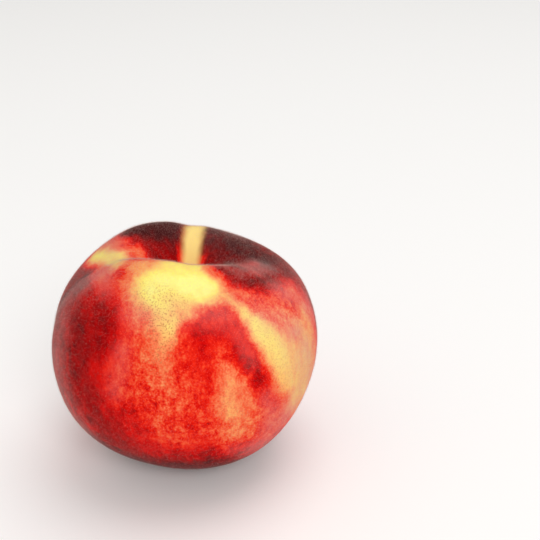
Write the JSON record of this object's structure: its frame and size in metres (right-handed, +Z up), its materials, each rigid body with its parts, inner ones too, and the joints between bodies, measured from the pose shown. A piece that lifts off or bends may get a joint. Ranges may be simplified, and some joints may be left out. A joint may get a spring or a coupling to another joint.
{
  "type": "white nectarine",
  "caption": "Whole round stone fruit with full cheeks, a valley across the crown, a deep stem cavity, a shallow suture and a small flat spot to rest on.",
  "frame": {"origin": "on the resting surface, under the middle of the fruit's width and depth", "axes": "+Z up through the core to the stem cavity; -X towards the deep end of the suture's valley; -Y towards the fuller front cheek"},
  "size_m": [0.0742, 0.0716, 0.0682],
  "materials": {
    "skin": "matt, finely downy fruit skin, deep red blush over yellow"
  },
  "bodies": {
    "root": {"fruit": "skin"}
  },
  "joints": []
}
